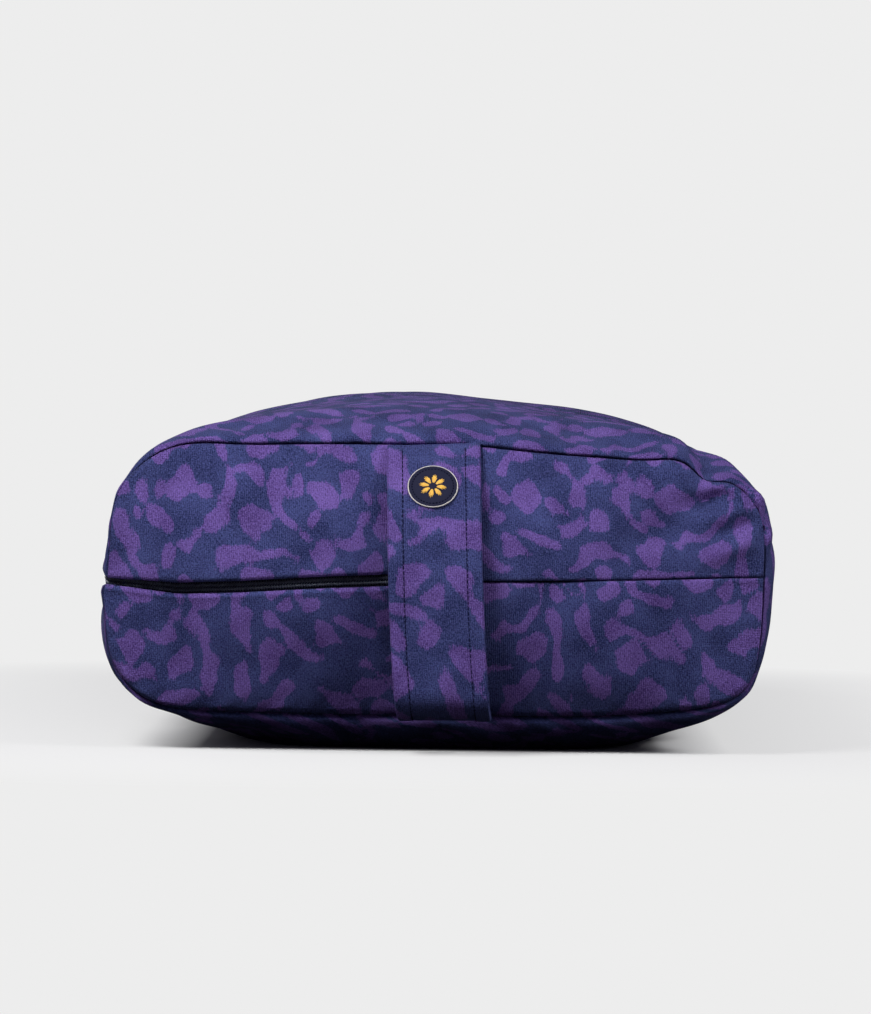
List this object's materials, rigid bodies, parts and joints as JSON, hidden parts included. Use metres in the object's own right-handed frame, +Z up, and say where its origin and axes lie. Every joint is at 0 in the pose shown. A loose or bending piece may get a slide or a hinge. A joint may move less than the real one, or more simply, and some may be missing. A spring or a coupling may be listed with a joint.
{
  "type": "yoga bolster",
  "caption": "Firm rectangular yoga bolster in printed cloth, with crowned ends, a zip round one corner and a bowed cloth handle on its near end.",
  "frame": {"origin": "centre of the bounding box's underside, on the surface that the bolster lies on", "axes": "+Y along the bolster's length, away from the end with the handle; +Z up, out of the wide upper face"},
  "size_m": [0.322, 0.6824, 0.166],
  "materials": {
    "printed_cloth": "brushed, finely ribbed cloth printed with purple spots and rosettes on slate navy",
    "zip_tape": "flat woven zip tape, near black",
    "zip_coil": "nylon coil, near black with a dull sheen",
    "badge_cloth": "dense navy stitching with a pale edge"
  },
  "bodies": {
    "root": {"body": "printed_cloth", "end_panel_upper": "printed_cloth", "end_panel_lower": "printed_cloth", "far_end_panel": "printed_cloth", "handle_strap": "printed_cloth", "zip_tape": "zip_tape", "zip_coil_upper": "zip_coil", "zip_coil_lower": "zip_coil", "badge": "badge_cloth"}
  },
  "joints": []
}
